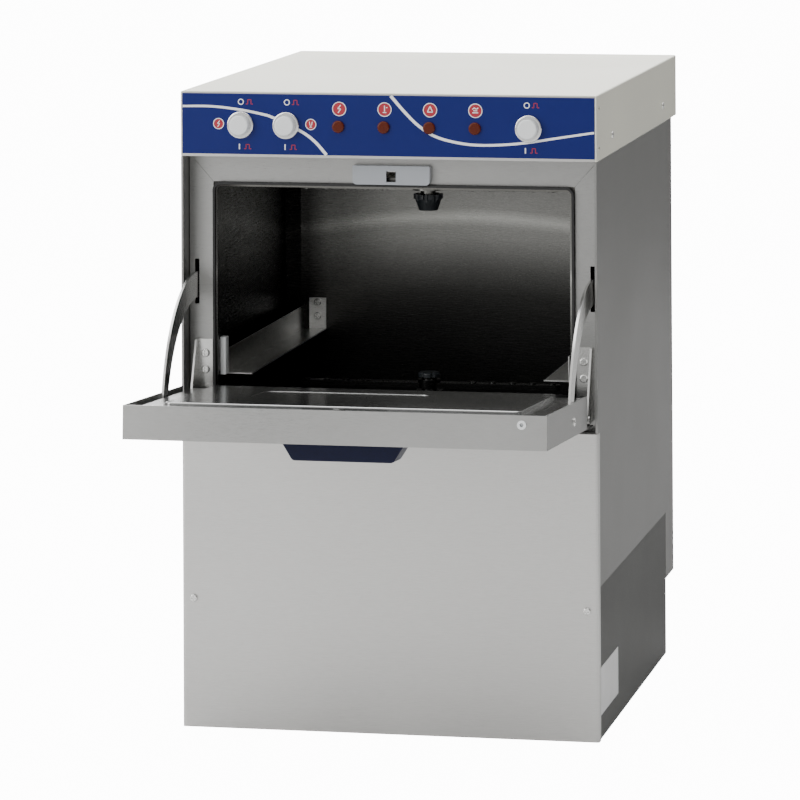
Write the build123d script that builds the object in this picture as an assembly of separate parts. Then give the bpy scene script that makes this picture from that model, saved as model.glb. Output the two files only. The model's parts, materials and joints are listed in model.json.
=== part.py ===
"""Undercounter dishwasher with its door open: panels, tub, door, spray arms, pumps and boiler.

Work frame in mm: X right, Y towards the back with Y = 0 on the cabinet front, Z up from the floor.
The files put the origin at floor level, in the middle of the overall box with the door open.
In names, HX is a half width about X = 0 and R a radius.
"""
from build123d import *
import math
import os

os.makedirs("parts", exist_ok=True)

# ---------------------------------------------------------------- driving sizes
WIDTH, DEPTH, HEIGHT = 430.0, 540.0, 650.0    # cabinet; the depth is taken over the head
HALF_WIDTH = WIDTH / 2
SHEET = 1.2              # stainless sheet
HEAD_Z = 583.6           # underside of the head
SHELL_TOP = HEAD_Z - 0.4  # top of the panels below the head
BASE_Z = 157.0           # top of the inset base
SKIRT_Z = 3.0            # gap between skirt and floor
PANEL_TOP = 311.0        # top edge of the lower front panel
SIDE_Y = 459.6           # rear edge of the side panels
BACK_Y = 519.0           # outer face of the back cover
BASE_Y = 452.0           # rear wall of the base

FRAME_Y = 29.0           # front plane of the door frame
FRAME_BACK = FRAME_Y + 1.5
OPEN_HX = 183.2          # clear half width of the opening
OPEN_Z0, OPEN_Z1 = 345.0, 550.6

TUB_HX = 194.0           # inside faces of the tub
TUB_Y0, TUB_Y1 = 31.8, 392.0
TUB_Z0, TUB_Z1 = 262.0, 560.0

HINGE_Y, HINGE_Z = 0.0, 325.4     # door hinge axis
TILT = 3.6               # the open door slopes back into the tub by this many degrees
COS_TILT, SIN_TILT = math.cos(math.radians(TILT)), math.sin(math.radians(TILT))
DOOR_HX = 208.5
DOOR_LENGTH = 255.6      # from the hinge axis
DOOR_OUTER, DOOR_RIM = -7.0, 26.0   # outer face and inner lip, from the hinge axis

ARM_Y, ARM_Z = -106.8, 339.5      # pivot of the curved arms on the door
SPRING_ARM = (62.0, 444.6)        # spring hole in the arm, (Y, Z)

# Positions on the front, (X, Z)
BUTTONS = [(-152.0, 616.0), (-104.5, 616.0), (146.0, 616.0)]
LAMPS = [(x, 615.5) for x in (-50.0, -3.0, 44.0, 91.0)]

PILLAR_Y = 210.0         # the spray arm axis stands at X = 0
PILLAR_R, POST_R = 14.0, 8.0      # pillar body; post that the arms turn on
SUMP_X, SUMP_Y = 132.0, 100.0
PUMP_Y, PUMP_Z = 100.0, 206.0     # wash pump axis, along X
BOILER_X, BOILER_Y = 95.0, 456.0
INLET_X, INLET_Z = -130.0, 45.0   # connections through the rear wall of the base
DRAIN_X, DRAIN_Z = 120.0, 50.0
CABLE_Z = 50.0
TUB_HEATER_XS, TUB_HEATER_Z = (-150.0, -110.0), 283.0

FRONT_MOST = -(DOOR_LENGTH * COS_TILT - DOOR_OUTER * SIN_TILT)
ORIGIN_Y = (DEPTH + FRONT_MOST) / 2

SIDES = (-1, 1)          # left, right
RIGHT, LEFT = (1, 0, 0), (-1, 0, 0)
BACK, FRONT = (0, 1, 0), (0, -1, 0)
UP = (0, 0, 1)


# ---------------------------------------------------------------- helpers
def save(name, *shapes):
    """Move every solid of one piece to the file origin and write its file."""
    shift = Location((0, -ORIGIN_Y, 0))
    moved = [shift * solid for shape in shapes for solid in shape.solids()]
    piece = moved[0] if len(moved) == 1 else Compound(children=moved)
    export_step(piece, "parts/" + name + ".step")


def box(x0, x1, y0, y1, z0, z1):
    return Solid.make_box(x1 - x0, y1 - y0, z1 - z0, Plane((x0, y0, z0)))


def wide_box(half, *limits):
    """Box centred on X = 0, with Y and Z limits."""
    return box(-half, half, *limits)


def side_box(side, x0, x1, *limits):
    """Box given by its X limits on the right; side -1 puts it on the left."""
    return box(*sorted((side * x0, side * x1)), *limits)


def rod(start, direction, radius, length):
    return Solid.make_cylinder(radius, length, Plane(origin=start, z_dir=direction))


def cone(start, direction, radius0, radius1, length):
    return Solid.make_cone(radius0, radius1, length, Plane(origin=start, z_dir=direction))


def plate(outline, normal, low, high):
    """Flat plate between two positions along its normal; the outline has the other two axes."""
    axis = normal.index(1)
    points = [point[:axis] + (low,) + point[axis:] for point in outline]
    face = make_face(Polyline(*points, close=True))
    return extrude(face, amount=high - low, dir=normal)


def pipe(points, radius, bend, bore=None):
    path = FilletPolyline(*points, radius=bend)
    start = Plane(origin=path @ 0, z_dir=path % 0)
    tube = sweep(start * Circle(radius), path=path)
    if bore:
        tube = tube - sweep(start * Circle(bore), path=path)
    return tube


def edges_along(shape, axis, **limits):
    """Straight edges along one axis whose middle lies within the given limits."""
    found = []
    for edge in shape.edges():
        if edge.geom_type != GeomType.LINE:
            continue
        if abs(getattr(edge.tangent_at(0.5), axis)) < 0.999:
            continue
        middle = edge.position_at(0.5)
        if all(low <= getattr(middle, key) <= high for key, (low, high) in limits.items()):
            found.append(edge)
    return found


def round_edges(shape, radius, axis, **limits):
    return shape.fillet(radius, edges_along(shape, axis, **limits))


def round_rim(shape, radius, toward):
    """Round the circular edge that lies furthest in one direction."""
    circles = shape.edges().filter_by(GeomType.CIRCLE)
    rim = max(circles, key=lambda edge: edge.center().dot(Vector(*toward)))
    return shape.fillet(radius, [rim])


def drill(shape, spots, y, radius, depth):
    """Bore holes towards the back from y at each (X, Z)."""
    for x, z in spots:
        shape = shape - rod((x, y, z), BACK, radius, depth)
    return shape


def both_sides(spots):
    return [(side * x, z) for side in SIDES for x, z in spots]


def mirrored(shape):
    return mirror(shape, about=Plane.YZ)


def pan_screw(seat, direction, head_r, head_h, shank_r, length):
    """Cross-slotted pan head screw; the shank points from the seat along the direction."""
    plane = Plane(origin=seat, z_dir=direction)
    head = rod(seat, [-part for part in direction], head_r, head_h)
    circles = [edge for edge in head.edges()
               if (edge.center() - Vector(*seat)).length > head_h * 0.9
               and edge.geom_type == GeomType.CIRCLE]
    head = head.fillet(head_h * 0.45, circles[:1])
    body = head + Solid.make_cylinder(shank_r, length, plane)
    narrow, reach, deep = head_r * 0.16, head_r * 0.62, head_h * 0.5
    for half_x, half_y in ((narrow, reach), (reach, narrow)):
        slot = Box(2 * half_x, 2 * half_y, deep + 0.5)
        body = body - plane * Location((0, 0, -head_h + deep / 2 - 0.25)) * slot
    return body


# ---------------------------------------------------------------- top cover
LID_SCREW_YS, LID_SCREW_Z = (93.0, 435.0), 602.5

lid = wide_box(HALF_WIDTH, 0, DEPTH, HEAD_Z, HEIGHT)
lid = round_edges(lid, 2.0, "Y", Z=(HEIGHT - 1, HEIGHT + 1))
lid -= wide_box(HALF_WIDTH - SHEET, -1, DEPTH - SHEET, HEAD_Z - 1, HEIGHT - SHEET)
for side in SIDES:
    for y in LID_SCREW_YS:
        lid -= rod((side * (HALF_WIDTH + 1), y, LID_SCREW_Z), (-side, 0, 0), 2.05, 4)
    for z in (636.0, 596.0):      # short slots near the front
        lid -= side_box(side, HALF_WIDTH - 3, HALF_WIDTH + 1, 14, 22, z - 1.2, z + 1.2)
save("top_cover", lid)

# ---------------------------------------------------------------- control fascia and overlay
FASCIA_HX, FASCIA_TOP = 213.7, 648.6
FASCIA_Y = 0.2           # front of the sheet, which carries the overlay
FASCIA_BACK = FASCIA_Y + SHEET
OVERLAY_Y = -0.4         # front of the overlay
BARREL_R, LAMP_STEM_R = 12.0, 5.4
CONTROL_GAP = 0.1        # radial gap around a control

fascia = wide_box(FASCIA_HX, FASCIA_Y, FASCIA_BACK, HEAD_Z, FASCIA_TOP)
fascia += wide_box(FASCIA_HX, FASCIA_BACK, 28.8, HEAD_Z, HEAD_Z + SHEET)
for side in SIDES:
    fascia += side_box(side, FASCIA_HX - SHEET, FASCIA_HX, FASCIA_BACK, 11.0, 586.0, FASCIA_TOP)
overlay = wide_box(213.2, OVERLAY_Y, FASCIA_Y, 586.3, 647.7)
for name, sheet in (("control_fascia", fascia), ("fascia_overlay", overlay)):
    sheet = drill(sheet, BUTTONS, -2, BARREL_R + CONTROL_GAP, 6)
    save(name, drill(sheet, LAMPS, -2, LAMP_STEM_R + CONTROL_GAP, 6))

# ---------------------------------------------------------------- buttons, switches and lamps
TRIM_Y = -3.4            # front face of bezels and lamp lenses
BEZEL_R, LENS_R = 13.8, 6.3
CAP_Y, CAP_R = -11.0, 10.2
CAP_LENGTH = 18.6
PLUNGER_R = 3.0


def flanged_stem(x, z, flange_r, rounding, stem_r, stem_length):
    """Round flange on the overlay with a stem behind it."""
    flange = rod((x, TRIM_Y, z), BACK, flange_r, OVERLAY_Y - TRIM_Y)
    flange = round_rim(flange, rounding, FRONT)
    return flange + rod((x, OVERLAY_Y, z), BACK, stem_r, stem_length)


def bezel(x, z):
    body = flanged_stem(x, z, BEZEL_R, 1.2, BARREL_R, 12.4)
    return body - rod((x, -5, z), BACK, CAP_R + 0.08, 20)


def switch_block(x, z):
    """Block with two terminal blades behind and a bore for the plunger."""
    block = box(x - 11, x + 11, 12.1, 38, z - 11, z + 11)
    for blade_x in (x - 8, x + 7):
        block += box(blade_x, blade_x + 1, 38, 46, z - 3, z + 3)
    return block - rod((x, 11, z), BACK, PLUNGER_R + 0.06, 16)


def button(x, z):
    cap = round_rim(rod((x, CAP_Y, z), BACK, CAP_R, CAP_LENGTH), 1.8, FRONT)
    return cap + rod((x, CAP_Y + CAP_LENGTH, z), BACK, PLUNGER_R, 13)


save("button_bezels", *[bezel(x, z) for x, z in BUTTONS])
save("switch_blocks", *[switch_block(x, z) for x, z in BUTTONS])
save("pilot_lamps", *[flanged_stem(x, z, LENS_R, 1.6, LAMP_STEM_R, 16) for x, z in LAMPS])
for (x, z), name in zip(BUTTONS, ("power_button", "start_button", "drain_button")):
    save(name, button(x, z))

# ---------------------------------------------------------------- lower front panel
FRONT_SCREWS = both_sides([(203, 134)])
SCREW_HOLE_R = 2.1
BASE_FRONT = 10.8

panel = wide_box(HALF_WIDTH, 0, 10.6, SKIRT_Z, PANEL_TOP)
panel = round_edges(panel, 3.0, "Z", Y=(-1, 1))
panel -= wide_box(HALF_WIDTH - SHEET, SHEET, 12, SKIRT_Z + SHEET, PANEL_TOP - SHEET)
save("lower_front_panel", drill(panel, FRONT_SCREWS, -1, SCREW_HOLE_R, 4))

# ---------------------------------------------------------------- side panels
INNER_X = HALF_WIDTH - SHEET

side_panel = box(INNER_X, HALF_WIDTH, 0, SIDE_Y, BASE_Z, SHELL_TOP)
side_panel += box(INNER_X - SHEET, INNER_X, 0, 8, PANEL_TOP + 1, SHELL_TOP)     # front hem
side_panel += box(HALF_WIDTH - 13, INNER_X, SIDE_Y - SHEET, SIDE_Y, BASE_Z, SHELL_TOP)
side_panel += box(HALF_WIDTH - 11, INNER_X, 46, 434, BASE_Z, BASE_Z + SHEET)
# Clearance for the lower front panel
side_panel -= box(HALF_WIDTH - 30, HALF_WIDTH + 1, -1, BASE_FRONT, BASE_Z - 1, PANEL_TOP + 0.4)
save("right_side_panel", side_panel)
save("left_side_panel", mirrored(side_panel))

# ---------------------------------------------------------------- base chassis
BASE_HX = 214.0
BASE_IN_HX = BASE_HX - SHEET
BASE_IN_Y0, BASE_IN_Y1 = BASE_FRONT + SHEET, BASE_Y - SHEET
FLOOR_Z = 12.0           # underside of the chassis floor
FLOOR_TOP = FLOOR_Z + SHEET
POST_TOP, POST_OUT = 560, 212.7   # rear corner posts: top and outer face
FEET = [(side * 180.0, y) for side in SIDES for y in (48.0, 418.0)]

base = wide_box(BASE_HX, BASE_FRONT, BASE_Y, SKIRT_Z, BASE_Z - 0.6)
base -= wide_box(BASE_IN_HX, BASE_IN_Y0, BASE_IN_Y1, FLOOR_TOP, BASE_Z)
base -= wide_box(BASE_IN_HX, BASE_IN_Y0, BASE_IN_Y1, 0, FLOOR_Z)
base -= wide_box(196, 10, 12.5, FLOOR_TOP, BASE_Z)      # open front
for side in SIDES:
    base += side_box(side, 200, POST_OUT, 436, 437.5, FLOOR_TOP, POST_TOP)
    base += side_box(side, POST_OUT - 1.5, POST_OUT, 437.5, 449, FLOOR_TOP, POST_TOP)
base = drill(base, FRONT_SCREWS, 9, SCREW_HOLE_R, 5)
for x, y in FEET:
    base -= rod((x, y, 10), UP, 5.2, 5)
for x, z, hole_r in ((INLET_X, INLET_Z, 13.6), (DRAIN_X, DRAIN_Z, 11.2), (0, CABLE_Z, 10.2)):
    base = drill(base, [(x, z)], 445, hole_r, 10)
save("base_chassis", base)

# ---------------------------------------------------------------- back cover
COVER_HX = 213.0
COVER_IN_HX = COVER_HX - SHEET
COVER_Y = SIDE_Y + 0.3
COVER_Z = 83.0           # underside of the cover
COVER_SCREWS = [(206, z) for z in (110, 330, 560)]
LOUVRE_W, LOUVRE_H, LOUVRE_PITCH = 120, 2.4, 8

cover = wide_box(COVER_HX, COVER_Y, BACK_Y, COVER_Z, SHELL_TOP)
cover = round_edges(cover, 3.0, "Z", Y=(BACK_Y - 1, BACK_Y + 1))
cover -= wide_box(COVER_IN_HX, SIDE_Y - 1, BACK_Y - SHEET, COVER_Z + SHEET, HEAD_Z + 1)
for side in SIDES:
    cover += side_box(side, 201, COVER_IN_HX, COVER_Y, COVER_Y + SHEET, 160, SHELL_TOP)
cover += wide_box(COVER_HX, BASE_Y + 0.2, COVER_Y, COVER_Z, COVER_Z + SHEET)
for bank_z in (420, 510):
    for row in range(9):
        z = bank_z + row * LOUVRE_PITCH
        for x in (-150, 30):
            cover -= box(x, x + LOUVRE_W, BACK_Y - 3, BACK_Y + 1, z, z + LOUVRE_H)
save("back_cover", drill(cover, both_sides(COVER_SCREWS), BACK_Y - 3, SCREW_HOLE_R, 5))


# ---------------------------------------------------------------- panel screws
def panel_screw(seat, direction, length=8):
    return pan_screw(seat, direction, 3.9, 2.2, 1.9, length)


screws = []
for side, (front_x, front_z) in zip(SIDES, FRONT_SCREWS):
    for y in LID_SCREW_YS:
        screws.append(panel_screw((side * HALF_WIDTH, y, LID_SCREW_Z), (-side, 0, 0)))
    screws.append(panel_screw((front_x, 0, front_z), BACK, 14))
    for x, z in COVER_SCREWS:
        screws.append(panel_screw((side * x, BACK_Y, z), FRONT))
save("panel_screws", *screws)


# ---------------------------------------------------------------- feet and rating plate
def foot(x, y):
    """Round pad with a threaded stem and a lock nut."""
    pad = round_rim(rod((x, y, 0), UP, 17, 7), 2, UP)
    return pad + rod((x, y, 7), UP, 5.0, 30) + rod((x, y, 8.2), UP, 9, 3.7)


save("levelling_feet", *[foot(x, y) for x, y in FEET])
save("rating_plate", box(BASE_HX, BASE_HX + 0.5, 14.5, 122, 27.5, 75))

# ---------------------------------------------------------------- door frame
SEAM_HX = 187.9          # side members meet the top and the sill here
FRAME_Z0, FRAME_Z1 = 340.4, 555.1
FRAME_TOP = 583.4
BRACKET_SCREWS = [(196.5, 379.5), (196.5, 362.8)]    # (X, Z) on the right
SCREW_GAP_R = 2.45       # clearance hole of the bracket and rail screws

# Right side member, (X, Z)
SIDE_MEMBER = [(SEAM_HX + 0.1, 40), (212.5, 40), (212.5, 158.5), (213.2, 158.5),
               (213.2, FRAME_TOP), (SEAM_HX + 0.1, FRAME_Z1)]
member = plate(SIDE_MEMBER, BACK, FRAME_Y, FRAME_BACK)
member = member + box(211.7, 213.2, FRAME_BACK, 45, 160, 578)
member = member - box(203.4, 207.9, FRAME_Y - 1, FRAME_Y + 3, 429.5, 475.5)     # arm slot
member = drill(member, BRACKET_SCREWS, 27, SCREW_GAP_R, 6)
save("frame_side_members", member, mirrored(member))

TOP_MEMBER = [(-SEAM_HX + 0.1, FRAME_Z1), (SEAM_HX - 0.1, FRAME_Z1),
              (212.95, FRAME_TOP), (-212.95, FRAME_TOP)]    # (X, Z)
top = plate(TOP_MEMBER, BACK, FRAME_Y, FRAME_BACK)
top = top + wide_box(205, FRAME_BACK, 42, FRAME_TOP - 1.5, FRAME_TOP)
save("frame_top_member", top - wide_box(12, 28, 32, 557.5, 572.5))

sill = wide_box(SEAM_HX - 0.1, FRAME_Y, FRAME_BACK, 296, FRAME_Z0)
save("frame_sill", sill + wide_box(SEAM_HX - 0.1, 22, FRAME_Y, 296, 296 + SHEET))

# ---------------------------------------------------------------- wash tub and gasket
LIP, LIP_R = 2.0, 4.0    # tub rim lip: thickness and inner corner radius
LIP_Y = 25.5             # front edge of the lip
GASKET_Y = 22.9          # sealing face of the gasket
GASKET_T = 2.3
RAIL_SCREWS = [(161.5, 386.0), (161.5, 371.0)]       # (X, Z) on the right


def ring_blocks(gap, thickness, y0, y1, corner_r):
    """Outer block and inner cutter of a rounded ring, a gap outside the clear opening."""
    half, z0, z1 = OPEN_HX + gap, OPEN_Z0 - gap, OPEN_Z1 + gap
    block = wide_box(half + thickness, y0, y1, z0 - thickness, z1 + thickness)
    cutter = wide_box(half, y0 - 1, y1 + 1, z0, z1)
    return round_edges(block, corner_r + thickness, "Y"), round_edges(cutter, corner_r, "Y")


cavity = wide_box(TUB_HX, TUB_Y0, TUB_Y1, TUB_Z0, TUB_Z1)
cavity = cavity.chamfer(14, None, edges_along(cavity, "Z", Y=(TUB_Y1 - 1, TUB_Y1 + 1)))
shell = wide_box(TUB_HX + SHEET, TUB_Y0 - SHEET, TUB_Y1 + SHEET, TUB_Z0 - SHEET, TUB_Z1 + SHEET)
shell = shell.chamfer(14.5, None, edges_along(shell, "Z", Y=(TUB_Y1, TUB_Y1 + 2)))
lip, lip_bore = ring_blocks(0, LIP, LIP_Y, TUB_Y0, LIP_R)
tub = shell - cavity + lip - lip_bore
tub -= rod((SUMP_X, SUMP_Y, 255), UP, 40, 12)
tub -= rod((0, PILLAR_Y, 255), UP, PILLAR_R + 0.1, 12)
tub -= rod((0, PILLAR_Y, 555), UP, POST_R + 0.1, 12)
tub = drill(tub, [(x, TUB_HEATER_Z) for x in TUB_HEATER_XS], 385, 4.3, 14)
tub = drill(tub, both_sides(BRACKET_SCREWS), 27, 2.6, 12)
tub = drill(tub, both_sides(RAIL_SCREWS), 385, 2.5, 12)
save("wash_tub", tub)

gasket_gap = LIP + 0.1
gasket, gasket_bore = ring_blocks(gasket_gap, GASKET_T, GASKET_Y, FRAME_BACK, LIP_R + gasket_gap)
save("door_gasket", gasket - gasket_bore)

# ---------------------------------------------------------------- hinge brackets and pins
PIN_R = 3.5
EAR_X0, EAR_X1 = 204, 206
EAR = [(27, 394), (20, 394), (6, 360), (-4.9, 330),
       (-4.9, 325.4), (-3.5, 321.9), (0, 320.4), (27, 320.4)]    # (Y, Z)

ear = plate(EAR, RIGHT, EAR_X0, EAR_X1) + rod((EAR_X0, HINGE_Y, HINGE_Z), RIGHT, 5.0, 2)
ear = ear - rod((203, HINGE_Y, HINGE_Z), RIGHT, PIN_R + 0.02, 4)
bracket = ear + box(189.0, EAR_X1, 27, FRAME_Y, 345, 394)
bracket = drill(bracket, BRACKET_SCREWS, 26, SCREW_GAP_R, 4)
save("hinge_brackets", bracket, mirrored(bracket))

pin = rod((200.2, HINGE_Y, HINGE_Z), RIGHT, PIN_R, 5.9)
pin += rod((206.05, HINGE_Y, HINGE_Z), RIGHT, 4.8, 1.0)
save("door_hinge_pins", pin, mirrored(pin))

# ---------------------------------------------------------------- latch
housing = wide_box(40, 20, FRAME_Y, 555.2, 574.5)
housing = round_edges(housing, 4.0, "Y", Z=(555, 556))
housing = round_edges(housing, 1.2, "Y", Z=(573, 575))
housing -= wide_box(14, 21.5, FRAME_Y + 1, 557, 573)
save("latch_housing", housing - wide_box(5, 19, 23, 558, 569))
save("latch_catch", wide_box(4, 22.9, 24.6, 568.2, 570.3))

# ---------------------------------------------------------------- basket rails and their screws
RAIL_Y, RAIL_Z = 46, 356          # front end and underside
RAIL_END = TUB_Y1 - 0.5
RAIL_TAB_Y = RAIL_END - SHEET     # front face of the rear mounting tab
RAIL_X = 177.3                    # inner face of the upright web

rail = box(RAIL_X, RAIL_X + SHEET, RAIL_Y, RAIL_END, RAIL_Z, 382)
rail += box(152, RAIL_X, RAIL_Y, RAIL_TAB_Y, RAIL_Z, RAIL_Z + SHEET)
rail += box(152, 171, RAIL_TAB_Y, RAIL_END, RAIL_Z, 391)
rail = drill(rail, RAIL_SCREWS, 385, SCREW_GAP_R, 9)
save("basket_rails", rail, mirrored(rail))

guide = round_edges(box(176.6, 183.0, 33, 45.8, 357, 395), 1.5, "Z")
guide += box(183.0, 193.9, 36, 42, 360, 392)
save("rail_end_guide", mirrored(guide))

screws = []
for side in SIDES:
    for x, z in BRACKET_SCREWS:
        screws.append(pan_screw((side * x, 27, z), BACK, 4.2, 2.4, 2.4, 9))
    for x, z in RAIL_SCREWS:
        screws.append(pan_screw((side * x, RAIL_TAB_Y, z), BACK, 4.0, 2.2, 2.4, 7))
save("bracket_screws", *screws)

# ---------------------------------------------------------------- door
# Drawn with Y inward and Z along the door from the hinge axis, then laid open.
ARM_ALONG = -ARM_Y * COS_TILT + (ARM_Z - HINGE_Z) * SIN_TILT     # arm pivot in the door frame
ARM_IN = ARM_Y * SIN_TILT + (ARM_Z - HINGE_Z) * COS_TILT
SKIN_IN = DOOR_OUTER + SHEET      # inner face of the outer skin
STACK_Y = SKIN_IN + 0.1           # parts laid on the skin start here
GROMMET_X, GROMMET_Y = 184.0, DOOR_RIM - 9.0


def open_door(shape):
    place = Location((0, HINGE_Y, HINGE_Z)) * Location((0, 0, 0), (90.0 - TILT, 0, 0))
    return place * shape


skin = wide_box(DOOR_HX, DOOR_OUTER, SKIN_IN, -11.0, DOOR_LENGTH)
for side in (1, -1):
    skin += side_box(side, DOOR_HX - SHEET, DOOR_HX, DOOR_OUTER, DOOR_RIM, 26, DOOR_LENGTH)
skin += wide_box(DOOR_HX, DOOR_OUTER, DOOR_RIM, DOOR_LENGTH - SHEET, DOOR_LENGTH)
skin += wide_box(DOOR_HX, DOOR_RIM - SHEET, DOOR_RIM, DOOR_LENGTH - 4, DOOR_LENGTH)
skin -= rod((GROMMET_X, GROMMET_Y, DOOR_LENGTH - 5), UP, 3.0, 8)
skin -= rod((-212, ARM_IN, ARM_ALONG), RIGHT, 2.55, 6)
skin -= rod((206, ARM_IN, ARM_ALONG), RIGHT, 2.55, 6)
save("door_outer_skin", open_door(skin))

# Inner panel: flat sealing flange around a raised pan
PAN_HX, PAN_Z0, PAN_Z1, PAN_Y = 176.5, 20.0, 220.6, 26.8
PAN_R = 6
FLANGE_HX, FLANGE_Y = 200.0, 22.6
FLANGE_BACK = FLANGE_Y - SHEET    # flange face towards the skin

pan = wide_box(PAN_HX, FLANGE_BACK, PAN_Y, PAN_Z0, PAN_Z1)
pan = round_edges(pan, PAN_R, "Y")
pan = pan.fillet(1.5, [edge for edge in pan.edges()
                       if abs(edge.position_at(0.5).Y - PAN_Y) < 0.01])
pan_hollow = wide_box(PAN_HX - SHEET, FLANGE_Y - 3, PAN_Y - SHEET, PAN_Z0 + SHEET, PAN_Z1 - SHEET)
pan_hollow = round_edges(pan_hollow, PAN_R - SHEET, "Y")
inner_panel = wide_box(FLANGE_HX, FLANGE_BACK, FLANGE_Y, 12, 254.2) + pan - pan_hollow
inner_panel -= wide_box(43, 10, FLANGE_Y + 1, 228, 251.2)       # window around the striker
for side in (1, -1):              # side webs down to the skin
    inner_panel += side_box(side, FLANGE_HX - SHEET, FLANGE_HX, STACK_Y, FLANGE_BACK, 150, 240)
recess = round_edges(box(-110, 60, PAN_Y - 0.4, PAN_Y + 1, 70, 150), 12, "Y")
save("door_inner_panel", open_door(inner_panel - recess))

# Handle: tapered grip, hollow from its hinge end
GRIP_Z0, GRIP_Z1 = 178.0, 212.0
GRIP = [(-62.5, DOOR_OUTER - 0.05), (62.5, DOOR_OUTER - 0.05),
        (50, DOOR_OUTER - 20), (-50, DOOR_OUTER - 20)]          # (X, Y)
HOLLOW = [(-57.5, DOOR_OUTER - 3), (57.5, DOOR_OUTER - 3),
          (47.2, DOOR_OUTER - 17), (-47.2, DOOR_OUTER - 17)]    # (X, Y)

grip = plate(GRIP, UP, GRIP_Z0, GRIP_Z1)
grip = fillet(edges_along(grip, "Z", Y=(DOOR_OUTER - 21, DOOR_OUTER - 19)), 5)
hollow = plate(HOLLOW, UP, GRIP_Z0 - 2, GRIP_Z1 - 4)
grip = grip - fillet(edges_along(hollow, "Z", Y=(DOOR_OUTER - 18, DOOR_OUTER - 16)), 3)
grip = fillet([edge for edge in grip.edges()
               if abs(edge.position_at(0.5).Z - GRIP_Z1) < 0.01
               and edge.position_at(0.5).Y < DOOR_OUTER - 1], 1.5)
save("door_handle", open_door(grip))

# Hinge plates: upright leaf around the pin, foot on the skin
LEAF_X0, LEAF_X1 = 200.9, 203.0
LEAF = [(-5.4, 0), (0, -5), (5, 0), (12, 18), (12, 60), (-5.6, 60)]    # (Y, Z)

leaf = plate(LEAF, RIGHT, LEAF_X0, LEAF_X1)
leaf = leaf + rod((LEAF_X0, 0, 0), RIGHT, 5.2, LEAF_X1 - LEAF_X0)
leaf = leaf + box(186, LEAF_X1, STACK_Y, STACK_Y + 1.5, 16, 60)
leaf = leaf - rod((200, 0, 0), RIGHT, PIN_R + 0.06, 5)
save("door_hinge_plates", open_door(mirrored(leaf)), open_door(leaf))

grommet = rod((GROMMET_X, GROMMET_Y, DOOR_LENGTH), UP, 4.4, 1.0)
grommet += rod((GROMMET_X, GROMMET_Y, DOOR_LENGTH - 4), UP, 2.95, 4)
grommet -= rod((GROMMET_X, GROMMET_Y, DOOR_LENGTH - 3), UP, 1.9, 6)
save("door_grommet", open_door(grommet))

striker = wide_box(3, STACK_Y, 26.4, 234, 240.8)
striker += wide_box(10, STACK_Y, STACK_Y + 1.4, 226, 248)
save("door_striker", open_door(striker - wide_box(4, 22.3, 25.2, 238.9, 242)))

save("arm_pivot_screws", *[
    open_door(pan_screw((side * DOOR_HX, ARM_IN, ARM_ALONG), (-side, 0, 0), 4.2, 2.0, 2.5, 5.0))
    for side in SIDES])

# ---------------------------------------------------------------- curved door arms
ARM_X, ARM_T = 204.4, 2.5         # inner face of the right arm; thickness


def arc_points(centre, radius, start, end):
    """Start, middle and end of an arc given in degrees."""
    angles = [math.radians(start + (end - start) * part) for part in (0, 0.5, 1)]
    return [(centre[0] + radius * math.cos(angle), centre[1] + radius * math.sin(angle))
            for angle in angles]


def door_arm():
    """Right arm: two long arcs in (Y, Z) joined by rounded ends."""
    outer0, outer_mid, outer1 = arc_points((22.1, 324.8), 138.0, 172, 74)
    inner0, inner_mid, inner1 = arc_points((24.6, 309.6), 127.2, 166, 74)
    rear_bulge = ((outer1[0] + inner1[0]) / 2 + 12.4, (outer1[1] + inner1[1]) / 2)
    with BuildSketch(Plane.YZ.offset(ARM_X)) as profile:
        with BuildLine():
            ThreePointArc(outer0, outer_mid, outer1)
            ThreePointArc(outer1, rear_bulge, inner1)
            ThreePointArc(inner1, inner_mid, inner0)
            ThreePointArc(inner0, (ARM_Y - 1.0, ARM_Z - 9.0), outer0)
        make_face()
    body = extrude(profile.sketch, amount=ARM_T, dir=RIGHT)
    body = body - rod((ARM_X - 1, ARM_Y, ARM_Z), RIGHT, 2.56, 6)
    return body - rod((ARM_X - 1, *SPRING_ARM), RIGHT, 2.0, 6)


right_arm = door_arm()
save("right_door_arm", right_arm)
save("left_door_arm", mirrored(right_arm))

# ---------------------------------------------------------------- counterbalance springs
SPRING_ANCHOR = (276.0, 300.0)    # chassis end, (Y, Z)
SPRING_X = 209.0
COIL_R, WIRE_R = 3.9, 0.8


def spring(x):
    """Close-wound coil as a thin tube, with tapered ends and a straight wire at each end."""
    run = SPRING_ANCHOR[0] - SPRING_ARM[0]
    rise = SPRING_ANCHOR[1] - SPRING_ARM[1]
    length = math.hypot(run, rise)
    way = (0, run / length, rise / length)

    def at(distance):
        return (x, SPRING_ARM[0] + way[1] * distance, SPRING_ARM[1] + way[2] * distance)

    coil = rod(at(20), way, COIL_R, length - 40) - rod(at(19), way, 2.5, length - 38)
    coil = coil + rod(at(4), way, WIRE_R, 18) + rod(at(length - 22), way, WIRE_R, 18)
    coil = coil + cone(at(18), way, 0.9, COIL_R, 3)
    return coil + cone(at(length - 21), way, COIL_R, 0.9, 3)


save("door_springs", spring(-SPRING_X), spring(SPRING_X))


# ---------------------------------------------------------------- spray arms and their supports
def pillar_rod(bottom, radius, height):
    return rod((0, PILLAR_Y, bottom), UP, radius, height)


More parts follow.
